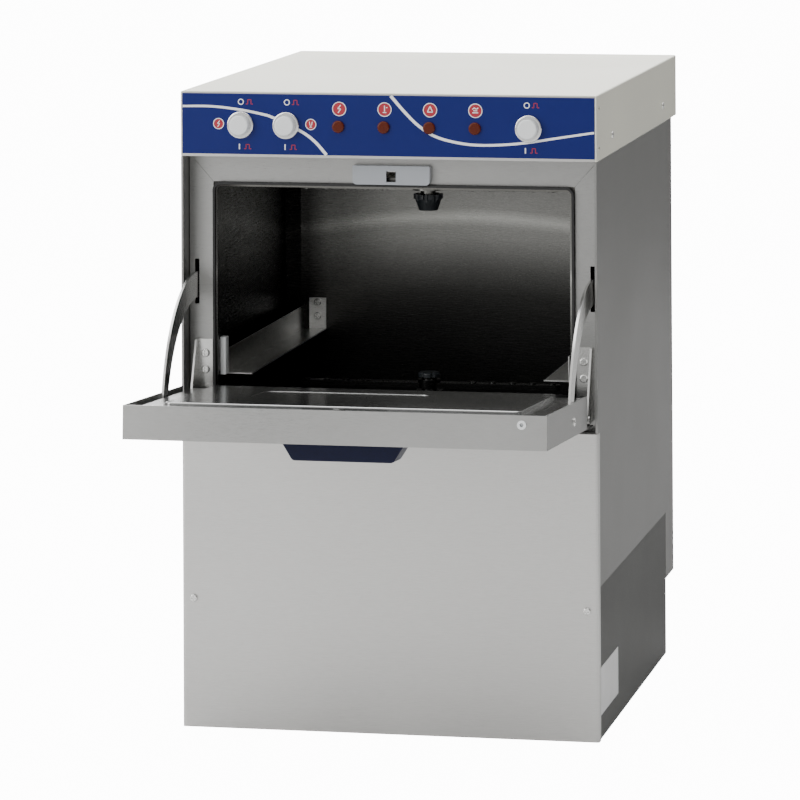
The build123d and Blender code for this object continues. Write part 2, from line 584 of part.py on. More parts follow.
def spray_arm(bottom, hub_r, reach, half_w, height, upward):
    """Tapered blade on a hub, with five slotted nozzles on each side."""
    tip_w = half_w * 0.6
    outline = [(-reach, PILLAR_Y - tip_w), (0, PILLAR_Y - half_w), (reach, PILLAR_Y - tip_w),
               (reach, PILLAR_Y + tip_w), (0, PILLAR_Y + half_w), (-reach, PILLAR_Y + tip_w)]
    blade = plate(outline, UP, bottom, bottom + height)
    tips = edges_along(blade, "Z", X=(-reach - 1, -reach + 1))
    tips += edges_along(blade, "Z", X=(reach - 1, reach + 1))
    body = pillar_rod(bottom, hub_r, height + 3) + fillet(tips, half_w * 0.5)
    z = bottom + height if upward else bottom - 1.2
    for number in range(1, 6):
        for side in SIDES:
            x, y = side * reach * (0.18 + 0.76 * number / 5), PILLAR_Y + side * 2
            body = body + rod((x, y, z), UP, 3.6, 1.2)
            body = body - box(x - 2.4, x + 2.4, y - 0.6, y + 0.6, z - 0.2, z + 1.3)
    return body - pillar_rod(bottom - 2, POST_R + 0.06, height + 8)


def scalloped(knob, count, ring_r, bottom, height):
    """Cut finger grooves, evenly spaced on a ring about the pillar axis."""
    for step in range(count):
        angle = step * 2 * math.pi / count
        x, y = ring_r * math.cos(angle), PILLAR_Y + ring_r * math.sin(angle)
        knob = knob - rod((x, y, bottom), UP, 2.6, height)
    return knob


PILLAR_Z0, PILLAR_Z1, POST_TOP_Z = 222.0, 306.0, 334.0
pillar = pillar_rod(PILLAR_Z0, PILLAR_R, PILLAR_Z1 - PILLAR_Z0) + pillar_rod(250, 22, 10.7)
pillar += rod((0, 190, 232), BACK, 10.9, 12)        # hose stub at the front
pillar += pillar_rod(PILLAR_Z1, POST_R, POST_TOP_Z - PILLAR_Z1)
pillar -= pillar_rod(PILLAR_Z0 - 1, 5.2, 118)
pillar -= rod((0, 185, 232), BACK, 8.5, 18)
save("spray_arm_pillar", pillar)

save("lower_wash_arm", spray_arm(308.0, 15.0, 148, 14, 9, True))
save("lower_rinse_arm", spray_arm(322.5, 12.0, 140, 8, 6, True))
retainer = round_rim(pillar_rod(POST_TOP_Z + 0.1, 11.5, 5), 2.0, UP)
save("arm_retaining_knob", scalloped(retainer, 6, 12.4, 333, 12))

mount = pillar_rod(516.0, POST_R, 56) + pillar_rod(547, 17, 12.9)
save("upper_arm_mount", mount - pillar_rod(524, 5.5, 50))
save("upper_rinse_arm", spray_arm(531.0, 18.0, 140, 11, 8, False))
knob = cone((0, PILLAR_Y, 509.5), UP, 10, 14, 12) + pillar_rod(521.5, 15.5, 5)
knob = scalloped(knob, 8, 15.5, 508, 20)
save("upper_arm_knob", knob - pillar_rod(515.8, POST_R + 0.05, 20))


# ---------------------------------------------------------------- sump, strainer, standpipe
def sump_rod(bottom, radius, height):
    return rod((SUMP_X, SUMP_Y, bottom), UP, radius, height)


sump = sump_rod(188, 42, 72.6) + sump_rod(257.6, 49, 3.0) - sump_rod(191, 39, 80)
sump = sump + rod((70, SUMP_Y, PUMP_Z), RIGHT, 13, 24) + sump_rod(168, 11, 21)
sump = sump - rod((69, SUMP_Y, PUMP_Z), RIGHT, 10, 30) - sump_rod(160, 8.5, 40)
save("sump", sump)

strainer = sump_rod(262.1, 47, 1.2) + sump_rod(222, 37, 41.3) - sump_rod(223.2, 35.8, 38.9)
strainer -= sump_rod(215, 13.0, 60)
for step in range(12):
    angle = step * math.pi / 6
    for ring_r, hole_r in ((20, 2.0), (29, 2.0), (41.5, 1.5)):
        x, y = SUMP_X + ring_r * math.cos(angle), SUMP_Y + ring_r * math.sin(angle)
        strainer -= rod((x, y, 261), UP, hole_r, 4)
save("sump_strainer", strainer)

standpipe = sump_rod(191.1, 12, 108.9) + sump_rod(300, 14.5, 5)
save("overflow_standpipe", standpipe - sump_rod(190, 9, 120))


# ---------------------------------------------------------------- wash pump
def pump_rod(x, radius, length):
    return rod((x, PUMP_Y, PUMP_Z), RIGHT, radius, length)


SHAFT_R = 5.0
volute = pump_rod(-15, 45, 30) + pump_rod(15, 13, 20) + rod((0, PUMP_Y, 235), BACK, 10.5, 56)
volute = volute - pump_rod(-11, 38, 22) - pump_rod(10, 10, 30)
volute = volute - rod((0, PUMP_Y, 235), BACK, 8, 60) - pump_rod(-20, SHAFT_R + 0.06, 12)
save("wash_pump_housing", volute)

motor = round_rim(pump_rod(-125, 42, 109.8), 5, LEFT)
for step in range(12):            # cooling grooves
    angle = step * math.pi / 6
    y, z = PUMP_Y + 41 * math.cos(angle), PUMP_Z + 41 * math.sin(angle)
    motor -= box(-118, -40, y - 1.5, y + 1.5, z - 1.5, z + 1.5)
save("wash_pump_motor", motor - pump_rod(-60, SHAFT_R + 0.06, 60))

impeller = pump_rod(-55, SHAFT_R, 56) + pump_rod(-8, 32, 2.5)
for step in range(6):
    turn = Location((0, PUMP_Y, PUMP_Z), (60 * step, 0, 0))
    impeller = impeller + (turn * Location((-1.0, 0, 19)) * Box(9.6, 2, 24))
save("pump_impeller", impeller)


# ---------------------------------------------------------------- boiler and heating elements
def boiler_rod(bottom, radius, height):
    return rod((BOILER_X, BOILER_Y, bottom), UP, radius, height)


def domed(cylinder, radius):
    return cylinder.fillet(radius, cylinder.edges().filter_by(GeomType.CIRCLE))


boiler = domed(boiler_rod(200, 50, 270), 14) - domed(boiler_rod(202, 48, 266), 12)
save("rinse_boiler", boiler - boiler_rod(190, 16.1, 20))

element = boiler_rod(186, 16, 18) + boiler_rod(180, 20, 8)
for x in (BOILER_X - 7, BOILER_X + 7):
    element += rod((x, BOILER_Y, 204), UP, 4, 150)
element += box(BOILER_X - 11, BOILER_X + 11, BOILER_Y - 3, BOILER_Y + 3, 350, 358)
heater_path = [(x, y, TUB_HEATER_Z)
               for x, ends in zip(TUB_HEATER_XS, ((420, 60), (60, 420))) for y in ends]
tub_heater = pipe(heater_path, 4.2, 15)
tub_heater = tub_heater + box(-160, -100, 393.3, 396, TUB_HEATER_Z - 10, TUB_HEATER_Z + 10)
save("heating_elements", element, tub_heater)

# ---------------------------------------------------------------- inlet valve and water pipes
valve = rod((INLET_X, 400, INLET_Z), BACK, 12, 50.7)
valve += rod((INLET_X, 450.7, INLET_Z), BACK, 12.6, 4)
valve += rod((INLET_X, 454, INLET_Z), BACK, 13.2, 16)
valve += box(INLET_X - 13, INLET_X + 13, 405, 435, INLET_Z, 70)
valve += rod((INLET_X, 420, 70), UP, 11, 22)
save("inlet_valve", valve - rod((INLET_X, 440, INLET_Z), BACK, 9, 40))

FILL_PIPE = [(INLET_X, 425, 92.2), (INLET_X, 425, 172), (INLET_X, BOILER_Y, 172),
             (60, BOILER_Y, 172), (60, BOILER_Y, 199.8)]        # valve to boiler
RINSE_PIPE = [(BOILER_X, BOILER_Y, 470.2), (BOILER_X, BOILER_Y, 572.5),
              (0, BOILER_Y, 572.5), (0, PILLAR_Y + 8.3, 572.5)]  # boiler to upper mount
save("water_pipes", pipe(FILL_PIPE, 5, 12), pipe(RINSE_PIPE, 6, 14))

# ---------------------------------------------------------------- hoses and drain pump
HOSE_R, HOSE_BORE_R = 11, 8.5     # drain hoses
DRAIN_PUMP_Z = 60
SUMP_DRAIN = [(SUMP_X, SUMP_Y, 167.8), (SUMP_X, SUMP_Y, DRAIN_PUMP_Z),
              (SUMP_X, 229.8, DRAIN_PUMP_Z)]
REAR_DRAIN = [(SUMP_X, 320.2, DRAIN_PUMP_Z), (SUMP_X, 345, DRAIN_PUMP_Z),
              (DRAIN_X, 390, DRAIN_Z), (DRAIN_X, 453.5, DRAIN_Z)]

suction_hose = pump_rod(22, 16, 66) - pump_rod(20, 13.05, 80)
delivery_hose = rod((0, 146, 233.5), BACK, 14.2, 48) - rod((0, 140, 233.5), BACK, 12.5, 60)
outlet = rod((DRAIN_X, 453.4, DRAIN_Z), BACK, 10.5, 26.6)
outlet -= rod((DRAIN_X, 450, DRAIN_Z), BACK, HOSE_BORE_R, 40)
save("water_hoses", suction_hose, delivery_hose, pipe(SUMP_DRAIN, HOSE_R, 26, HOSE_BORE_R),
     pipe(REAR_DRAIN, HOSE_R, 20, HOSE_BORE_R) + outlet)

drain_pump = rod((SUMP_X, 230, DRAIN_PUMP_Z), BACK, 13, 15)
drain_pump += rod((SUMP_X, 245, DRAIN_PUMP_Z), BACK, 32, 26)
drain_pump += box(SUMP_X - 26, SUMP_X + 26, 271, 305, DRAIN_PUMP_Z - 26, DRAIN_PUMP_Z + 26)
drain_pump += rod((SUMP_X, 305, DRAIN_PUMP_Z), BACK, 13, 15)
save("drain_pump", drain_pump)

# ---------------------------------------------------------------- electrics
save("contactor_box", round_edges(box(-190, -60, 190, 350, 20, 110), 5, "Z"))

gland = rod((0, 440, CABLE_Z), BACK, 10.0, 12.1) + rod((0, BASE_Y + 0.1, CABLE_Z), BACK, 15, 6)
gland += cone((0, BASE_Y + 6.1, CABLE_Z), BACK, 13, 9, 12)
save("cable_gland", gland - rod((0, 430, CABLE_Z), BACK, 5.0, 60))
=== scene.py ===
import json
import math
import bpy
import numpy as np
from mathutils import Matrix, Vector


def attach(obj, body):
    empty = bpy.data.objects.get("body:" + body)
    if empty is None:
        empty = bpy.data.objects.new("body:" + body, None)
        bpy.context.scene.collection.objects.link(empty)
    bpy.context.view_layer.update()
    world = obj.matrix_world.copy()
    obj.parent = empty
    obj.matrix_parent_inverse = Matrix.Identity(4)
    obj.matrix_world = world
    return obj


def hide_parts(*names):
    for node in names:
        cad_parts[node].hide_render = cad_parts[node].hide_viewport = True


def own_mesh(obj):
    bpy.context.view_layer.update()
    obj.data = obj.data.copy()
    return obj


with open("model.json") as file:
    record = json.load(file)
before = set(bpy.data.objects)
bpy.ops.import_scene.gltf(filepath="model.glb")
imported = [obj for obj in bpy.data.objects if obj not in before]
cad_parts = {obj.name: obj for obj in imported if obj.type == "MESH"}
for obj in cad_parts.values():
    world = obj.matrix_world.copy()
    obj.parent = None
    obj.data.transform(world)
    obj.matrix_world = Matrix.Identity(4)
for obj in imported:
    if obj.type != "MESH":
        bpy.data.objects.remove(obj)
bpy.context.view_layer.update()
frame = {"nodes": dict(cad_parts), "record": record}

OY = 0.142232417          # the row origin sits this far behind the cabinet front, in metres

SLOT = {s["node"]: s["material_slot"] for s in frame["record"]["subparts"]}


# ------------------------------------------------------------------ materials
class Mat:
    """A small node-tree builder."""

    def __init__(self, name):
        self.m = bpy.data.materials.new(name)
        self.m.use_nodes = True
        self.t = self.m.node_tree
        self.n, self.l = self.t.nodes, self.t.links
        self.b = self.n["Principled BSDF"]

    def node(self, kind, **inputs):
        x = self.n.new(kind)
        for k, v in inputs.items():
            k = k.replace("_", " ")
            if k in x.inputs:
                x.inputs[k].default_value = v
        return x

    def noise(self, scale, stretch=(1, 1, 1), detail=4.0, rough=0.6):
        tc = self.n.new("ShaderNodeTexCoord")
        mp = self.n.new("ShaderNodeMapping")
        mp.inputs["Scale"].default_value = stretch
        self.l.new(tc.outputs["Object"], mp.inputs["Vector"])
        x = self.n.new("ShaderNodeTexNoise")
        x.inputs["Scale"].default_value = scale
        x.inputs["Detail"].default_value = detail
        x.inputs["Roughness"].default_value = rough
        self.l.new(mp.outputs["Vector"], x.inputs["Vector"])
        return x.outputs["Fac"]

    def ramp(self, fac, lo, hi, a=0.3, b=0.7):
        r = self.n.new("ShaderNodeMapRange")
        r.inputs["From Min"].default_value = a
        r.inputs["From Max"].default_value = b
        r.inputs["To Min"].default_value = lo
        r.inputs["To Max"].default_value = hi
        self.l.new(fac, r.inputs["Value"])
        return r.outputs["Result"]

    def mix(self, fac, c0, c1):
        x = self.n.new("ShaderNodeMix")
        x.data_type = "RGBA"
        self.l.new(fac, x.inputs[0])
        x.inputs[6].default_value = (*c0, 1)
        x.inputs[7].default_value = (*c1, 1)
        return x

    def bump(self, fac, strength, dist, radius=0.0004):
        bv = self.n.new("ShaderNodeBevel")
        bv.samples = 4
        bv.inputs["Radius"].default_value = radius
        b = self.n.new("ShaderNodeBump")
        b.inputs["Strength"].default_value = strength
        b.inputs["Distance"].default_value = dist
        self.l.new(fac, b.inputs["Height"])
        self.l.new(bv.outputs["Normal"], b.inputs["Normal"])
        self.l.new(b.outputs["Normal"], self.b.inputs["Normal"])


def steel(name, color, rough, grain=(1, 1, 60), spread=0.07, strength=0.10, metallic=1.0, aniso=0.0, dirt=0.0):
    m = Mat(name)
    fine = m.noise(90.0, grain, 3.0, 0.7)
    cloud = m.noise(6.0, (1, 1, 1), 3.0, 0.5)
    dark = tuple(c * 0.86 for c in color)
    c = m.mix(m.ramp(fine, 0, 1, 0.35, 0.65), dark, color)
    c2 = m.n.new("ShaderNodeMix")
    c2.data_type = "RGBA"
    c2.blend_type = "MULTIPLY"
    c2.inputs[0].default_value = 1.0
    m.l.new(c.outputs[2], c2.inputs[6])
    shade = m.mix(cloud, (0.93, 0.93, 0.93), (1.05, 1.05, 1.04))
    m.l.new(shade.outputs[2], c2.inputs[7])
    m.l.new(c2.outputs[2], m.b.inputs["Base Color"])
    m.b.inputs["Metallic"].default_value = metallic
    add = m.n.new("ShaderNodeMath")
    add.operation = "ADD"
    m.l.new(m.ramp(fine, rough - spread, rough + spread), add.inputs[0])
    m.l.new(m.ramp(cloud, -0.03, 0.03), add.inputs[1])
    m.l.new(add.outputs[0], m.b.inputs["Roughness"])
    m.b.inputs["Anisotropic"].default_value = aniso
    m.bump(fine, strength, 0.0002)
    return m.m


def plastic(name, color, rough, scale=900.0, strength=0.08, coat=0.0, vary=0.15, emission=None, transmission=0.0, radius=0.0004):
    m = Mat(name)
    fine = m.noise(scale, (1, 1, 1), 2.0)
    cloud = m.noise(14.0, (1, 1, 1), 3.0)
    c = m.mix(cloud, tuple(v * (1 - vary) for v in color), tuple(min(1, v * (1 + vary)) for v in color))
    m.l.new(c.outputs[2], m.b.inputs["Base Color"])
    m.l.new(m.ramp(fine, rough - 0.05, rough + 0.05), m.b.inputs["Roughness"])
    m.b.inputs["Coat Weight"].default_value = coat
    m.b.inputs["Transmission Weight"].default_value = transmission
    if emission:
        m.b.inputs["Emission Color"].default_value = (*emission, 1)
        m.b.inputs["Emission Strength"].default_value = 0.25
    m.bump(fine, strength, 0.0001, radius)
    return m.m


MATS = {
    # the lid steel is a lighter copy of the steel with lower metallic, as painted light on the top face
    "lid_steel": steel("lid_steel", (0.95, 0.94, 0.83), 0.50, (1, 60, 60), 0.04, 0.05, 0.75),
    "brushed_steel": steel("brushed_steel", (0.64, 0.635, 0.625), 0.34, (1.2, 1.2, 70), 0.07, 0.10),
    # side, door, frame and base steel are darker copies of the brushed steel, as painted shade on faces that catch less
    # light
    "side_steel": steel("side_steel", (0.30, 0.30, 0.295), 0.36, (1.2, 1.2, 70), 0.06, 0.10),
    "door_steel": steel("door_steel", (0.47, 0.47, 0.465), 0.33, (1.2, 1.2, 70), 0.07, 0.10),
    "frame_steel": steel("frame_steel", (0.38, 0.38, 0.375), 0.32, (1.2, 1.2, 70), 0.07, 0.10),
    "rail_steel": steel("rail_steel", (0.80, 0.80, 0.79), 0.30, (1.2, 60, 60), 0.06, 0.08),
    "base_steel": steel("base_steel", (0.17, 0.17, 0.168), 0.38, (1.2, 1.2, 70), 0.06, 0.10),
    "tub_steel": steel("tub_steel", (0.50, 0.50, 0.49), 0.27, (1, 1, 50), 0.05, 0.08),
    "mirror_steel": steel("mirror_steel", (0.50, 0.505, 0.505), 0.20, (40, 1, 1), 0.03, 0.03),
    "bracket_steel": steel("bracket_steel", (0.74, 0.74, 0.73), 0.25, (30, 30, 30), 0.06, 0.12),
    "screw_steel": steel("screw_steel", (0.80, 0.80, 0.79), 0.18, (20, 20, 20), 0.05, 0.05),
    "blue_film": plastic("blue_film", (0.004, 0.010, 0.120), 0.34, 1500.0, 0.03, 0.0, 0.06),
    "navy_plastic": plastic("navy_plastic", (0.002, 0.004, 0.026), 0.38, 1400.0, 0.12),
    "chrome": steel("chrome", (0.88, 0.88, 0.88), 0.10, (10, 10, 10), 0.03, 0.02),
    "white_plastic": plastic("white_plastic", (0.80, 0.82, 0.83), 0.28, 1200.0, 0.04, 0.3, 0.03),
    "amber_lens": plastic("amber_lens", (0.085, 0.010, 0.002), 0.22, 700.0, 0.15, 0.1, 0.2),
    "gasket_rubber": plastic("gasket_rubber", (0.012, 0.012, 0.012), 0.62, 700.0, 0.25),
    "latch_grey": plastic("latch_grey", (0.36, 0.38, 0.41), 0.36, 1300.0, 0.06, 0.2, 0.05),
    "dark_plastic": plastic("dark_plastic", (0.022, 0.027, 0.032), 0.42, 900.0, 0.15),
    "motor_paint": plastic("motor_paint", (0.05, 0.055, 0.06), 0.45, 600.0, 0.2),
    "copper_pipe": steel("copper_pipe", (0.72, 0.38, 0.22), 0.24, (8, 8, 8), 0.08, 0.08),
    "element_steel": steel("element_steel", (0.33, 0.32, 0.31), 0.42, (12, 12, 12), 0.1, 0.15),
    "feet_black": plastic("feet_black", (0.016, 0.016, 0.016), 0.55, 600.0, 0.2),
    "plate_label": plastic("plate_label", (0.72, 0.72, 0.72), 0.4, 700.0, 0.03),
    "print_white": plastic("print_white", (0.86, 0.87, 0.88), 0.4, 1500.0, 0.02, 0.0, 0.03, None, 0.0, 0.0001),
    "print_red": plastic("print_red", (0.36, 0.015, 0.03), 0.4, 1500.0, 0.02, 0.0, 0.05, None, 0.0, 0.0001),
    "floor_pale": plastic("floor_pale", (0.95, 0.95, 0.95), 0.75, 40.0, 0.01, 0.0, 0.01),
}


def painted_tub_reflection(m):
    """Painted reflection on the tub: the steel darkens towards the bottom, with a bright swept band painted across the
    walls as a highlight, standing in for the lit front and the dark door reflected in the steel.
    """
    t = m.node_tree
    b = t.nodes["Principled BSDF"]
    src = b.inputs["Base Color"].links[0].from_socket
    tc = t.nodes.new("ShaderNodeTexCoord")
    sp = t.nodes.new("ShaderNodeSeparateXYZ")
    t.links.new(tc.outputs["Object"], sp.inputs[0])
    x2 = t.nodes.new("ShaderNodeMath"); x2.operation = "MULTIPLY"
    t.links.new(sp.outputs["X"], x2.inputs[0]); t.links.new(sp.outputs["X"], x2.inputs[1])
    k = t.nodes.new("ShaderNodeMath"); k.operation = "MULTIPLY_ADD"
    k.inputs[1].default_value = 0.55
    t.links.new(x2.outputs[0], k.inputs[0]); t.links.new(sp.outputs["Z"], k.inputs[2])
    r = t.nodes.new("ShaderNodeValToRGB")
    mr = t.nodes.new("ShaderNodeMapRange")
    mr.inputs["From Min"].default_value, mr.inputs["From Max"].default_value = 0.36, 0.56
    t.links.new(k.outputs[0], mr.inputs["Value"]); t.links.new(mr.outputs["Result"], r.inputs[0])
    e = r.color_ramp.elements
    e[0].position, e[0].color = 0.0, (0.12, 0.12, 0.12, 1)
    e[1].position, e[1].color = 1.0, (0.36, 0.355, 0.34, 1)
    # ramp stops: dark painted shade low on the walls, rising to a painted highlight band at the brightest stop
    for p, c in ((0.20, 0.16), (0.33, 0.30), (0.42, 0.46), (0.50, 0.60), (0.56, 0.62), (0.61, 1.0), (0.66, 0.56), (0.8, 0.44)):
        n = e.new(p)
        n.color = (c, c, c * 0.98, 1)
    mx = t.nodes.new("ShaderNodeMix"); mx.data_type = "RGBA"; mx.blend_type = "MULTIPLY"; mx.inputs[0].default_value = 1.0
    t.links.new(src, mx.inputs[6]); t.links.new(r.outputs[0], mx.inputs[7])
    # painted shade on the left wall: the colour drops to 0.28 of itself towards the left wall
    lw = t.nodes.new("ShaderNodeMapRange")
    lw.inputs["From Min"].default_value, lw.inputs["From Max"].default_value = -0.172, -0.150
    lw.inputs["To Min"].default_value, lw.inputs["To Max"].default_value = 0.28, 1.0
    t.links.new(sp.outputs["X"], lw.inputs["Value"])
    m2 = t.nodes.new("ShaderNodeVectorMath"); m2.operation = "SCALE"
    t.links.new(mx.outputs[2], m2.inputs[0]); t.links.new(lw.outputs["Result"], m2.inputs["Scale"])
    t.links.new(m2.outputs[0], b.inputs["Base Color"])


# paint reflections and shade into the tub steel
painted_tub_reflection(MATS["tub_steel"])
for key in ("blue_film", "navy_plastic", "amber_lens"):
    MATS[key].node_tree.nodes["Principled BSDF"].inputs["Specular IOR Level"].default_value = 0.22
# dimmer edge reflections on the side, base and door steel, as painted shade
for key, edge in (("side_steel", 0.75), ("base_steel", 0.55), ("door_steel", 0.75)):
    MATS[key].node_tree.nodes["Principled BSDF"].inputs["Specular Tint"].default_value = (edge, edge, edge, 1)

# pieces given their own copy of the steel: the side panels, back cover, base, door skin and frame members carry darker
# copies as painted shade, and the basket rails get a brighter steel with its own grain
LOOK = {"left_side_panel": "side_steel", "right_side_panel": "side_steel", "base_chassis": "base_steel", "back_cover": "side_steel",
        "door_outer_skin": "door_steel", "frame_side_members": "frame_steel", "frame_top_member": "frame_steel", "frame_sill": "frame_steel",
        "basket_rails": "rail_steel"}
for node, obj in frame["nodes"].items():
    obj.data.materials.clear()
    obj.data.materials.append(MATS[LOOK.get(node, SLOT[node])])


# ------------------------------------------------------------------ printed marks on the fascia
PRINT_Y = -0.40           # face of the overlay
marks = {"print_white": ([], []), "print_red": ([], [])}


def quad(mat, pts, y=PRINT_Y, thick=0.12):
    """A thin raised print from a closed (X, Z) outline in millimetres."""
    verts, faces = marks[mat]
    n, k = len(pts), len(verts)
    for yy in (y - thick, y - 0.01):
        verts.extend([(p[0] / 1000, yy / 1000 - OY, p[1] / 1000) for p in pts])
    faces.append(list(range(k, k + n)))
    faces.append(list(range(k + 2 * n - 1, k + n - 1, -1)))
    for i in range(n):
        j = (i + 1) % n
        faces.append([k + i, k + n + i, k + n + j, k + j])


def strip(mat, a, b, w, **kw):
    d = Vector((b[0] - a[0], b[1] - a[1])).normalized()
    nx, nz = -d.y * w / 2, d.x * w / 2
    quad(mat, [(a[0] + nx, a[1] + nz), (b[0] + nx, b[1] + nz), (b[0] - nx, b[1] - nz), (a[0] - nx, a[1] - nz)], **kw)


def ribbon(mat, pts, w0, w1, **kw):
    """A smooth curved stripe with a changing width, as a run of short strips."""
    p = np.array(pts, float)
    t = np.arange(len(p))
    tt = np.linspace(0, len(p) - 1, (len(p) - 1) * 10 + 1)
    out = []
    for s in tt:
        i = min(int(s), len(p) - 2)
        u = s - i
        p0, p1, p2, p3 = p[max(i - 1, 0)], p[i], p[i + 1], p[min(i + 2, len(p) - 1)]
        out.append(0.5 * (2 * p1 + (p2 - p0) * u + (2 * p0 - 5 * p1 + 4 * p2 - p3) * u * u + (3 * p1 - p0 - 3 * p2 + p3) * u ** 3))
    out = np.array(out)
    g = np.gradient(out, axis=0)
    nrm = np.stack([-g[:, 1], g[:, 0]], 1) / np.linalg.norm(g, axis=1)[:, None]
    w = np.linspace(w0, w1, len(out))[:, None] / 2
    a, b = out + nrm * w, out - nrm * w
    quad(mat, [tuple(v) for v in a] + [tuple(v) for v in b[::-1]], **kw)


def ring(mat, x, z, r, w, n=28, **kw):
    for i in range(n):
        a0, a1 = 2 * math.pi * i / n, 2 * math.pi * (i + 1) / n
        quad(mat, [(x + r * math.cos(a0), z + r * math.sin(a0)), (x + r * math.cos(a1), z + r * math.sin(a1)),
                   (x + (r - w) * math.cos(a1), z + (r - w) * math.sin(a1)), (x + (r - w) * math.cos(a0), z + (r - w) * math.sin(a0))], **kw)


def disc(mat, x, z, r, n=28, **kw):
    quad(mat, [(x + r * math.cos(2 * math.pi * i / n), z + r * math.sin(2 * math.pi * i / n)) for i in range(n)], **kw)


ribbon("print_white", [(-212.8, 634.4), (-182.4, 634.5), (-152.9, 631.5), (-128.6, 627.0), (-118.2, 623.8), (-90.6, 611.2), (-75.1, 600.6), (-62.4, 586.6)], 2.2, 3.2)
ribbon("print_white", [(4.4, 647.4), (19.6, 630.3), (34.5, 616.4), (52.2, 606.2), (78.7, 600.1), (105.3, 598.9), (140.6, 601.5), (175.8, 607.1), (212.9, 612.9)], 3.2, 2.2)
TOP = dict(y=PRINT_Y - 0.13, thick=0.10)
for x, z in ((-150.6, 639.5), (-102.5, 639.5), (145.3, 639.5)):
    ring("print_white", x - 1.0, z, 3.1, 0.9)
    for a, b in (((4.2, -2.2), (6.2, -2.2)), ((6.2, -2.2), (6.2, 2.2)), ((6.2, 2.2), (9.6, 2.2)), ((9.6, 2.2), (9.6, -2.2)), ((9.6, -2.2), (11.6, -2.2))):
        strip("print_red", (x + a[0], z + a[1]), (x + b[0], z + b[1]), 0.8)
for x, z in ((-148.7, 594.0), (-101.0, 594.0), (147.2, 594.0)):
    strip("print_white", (x - 4.5, z - 2.8), (x - 4.5, z + 2.8), 1.2, **TOP)
    for a, b in (((0.4, -2.2), (2.4, -2.2)), ((2.4, -2.2), (2.4, 2.2)), ((2.4, 2.2), (5.8, 2.2)), ((5.8, 2.2), (5.8, -2.2)), ((5.8, -2.2), (7.8, -2.2))):
        strip("print_red", (x + a[0], z + a[1]), (x + b[0], z + b[1]), 0.8, **TOP)


def badge(x, z, r, kind):
    disc("print_red", x, z, r, **TOP)
    up = dict(y=PRINT_Y - 0.24, thick=0.08)
    ring("print_white", x, z, r, 0.75, **up)
    s = r / 7.3
    g = {"bolt": [((1.5, 4), (-1.5, 0.2)), ((-1.5, 0.2), (1.6, 0.2)), ((1.6, 0.2), (-1.2, -4))],
         "therm": [((0, 4), (0, -2)), ((-1.8, -3), (1.8, -3)), ((1.5, 2), (3, 2))],
         "drop": [((0, 4), (-2.8, -2)), ((0, 4), (2.8, -2)), ((-2.8, -2), (2.8, -2))],
         "wave": [((-3, 1.5), (-1, 3)), ((-1, 3), (1, 1.5)), ((1, 1.5), (3, 3)), ((-3, -2), (3, -2)), ((-2, 0), (2, 0))],
         "glass": [((-2, 3.5), (-1, -1)), ((2, 3.5), (1, -1)), ((0, -1), (0, -3.5)), ((-1.6, -3.5), (1.6, -3.5))]}[kind]
    for a, b in g:
        strip("print_white", (x + a[0] * s, z + a[1] * s), (x + b[0] * s, z + b[1] * s), 0.8 * s + 0.1, **up)


for (x, kind) in ((-49.0, "bolt"), (-2.0, "therm"), (45.0, "drop"), (91.6, "wave")):
    badge(x, 633.5, 7.3, kind)
badge(-175.0, 617.0, 5.7, "bolt")
badge(-78.6, 617.4, 5.7, "glass")
for name, (verts, faces) in marks.items():
    me = bpy.data.meshes.new("fascia_" + name)
    me.from_pydata(verts, [], faces)
    me.update()
    o = bpy.data.objects.new("fascia_" + name, me)
    bpy.context.collection.objects.link(o)
    me.materials.append(MATS[name])
    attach(o, "cabinet")


# ------------------------------------------------------------------ wound door springs
def tube(name, pts, r, sides=8):
    verts, faces = [], []
    p = np.array(pts)
    tang = np.gradient(p, axis=0)
    tang /= np.linalg.norm(tang, axis=1)[:, None]
    ref = np.array([1.0, 0, 0])
    for c, t in zip(p, tang):
        u = np.cross(t, ref)
        u /= np.linalg.norm(u)
        v = np.cross(t, u)
        for k in range(sides):
            a = 2 * math.pi * k / sides
            verts.append(tuple(c + r * (math.cos(a) * u + math.sin(a) * v)))
    for i in range(len(p) - 1):
        for k in range(sides):
            j = (k + 1) % sides
            faces.append([i * sides + k, i * sides + j, (i + 1) * sides + j, (i + 1) * sides + k])
    faces.append(list(range(sides))[::-1])
    faces.append([(len(p) - 1) * sides + k for k in range(sides)])
    me = bpy.data.meshes.new(name)
    me.from_pydata(verts, [], faces)
    me.update()
    for f in me.polygons:
        f.use_smooth = True
    o = bpy.data.objects.new(name, me)
    bpy.context.collection.objects.link(o)
    return o


S0, S1 = np.array([62.0, 444.6]), np.array([276.0, 300.0])
SD = (S1 - S0) / np.linalg.norm(S1 - S0)
SLEN = float(np.linalg.norm(S1 - S0))
SN = np.array([-SD[1], SD[0]])
for sx, label in ((-1, "left"), (1, "right")):
    pts = []
    for i in range(46 * 10 + 1):
        a = 2 * math.pi * i / 10
        s = 20 + (SLEN - 40) * i / 460
        q = S0 + SD * s + SN * 2.3 * math.sin(a)
        pts.append(((sx * 210.0 + 2.3 * math.cos(a)) / 1000, q[0] / 1000 - OY, q[1] / 1000))
    head = [((sx * 210.0 + 2.3 * min(1, k / 4)) / 1000, (S0 + SD * (4 + 4 * k))[0] / 1000 - OY, (S0 + SD * (4 + 4 * k))[1] / 1000) for k in range(4)]
    end = [((sx * 210.0) / 1000, (S1 - SD * (16 - 4 * k))[0] / 1000 - OY, (S1 - SD * (16 - 4 * k))[1] / 1000) for k in range(4)]
    o = tube(label + "_spring_coil", head + pts + end, 0.0005)
    o.data.materials.append(MATS["bracket_steel"])
    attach(o, "cabinet")
    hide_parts("door_springs")
    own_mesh(o)

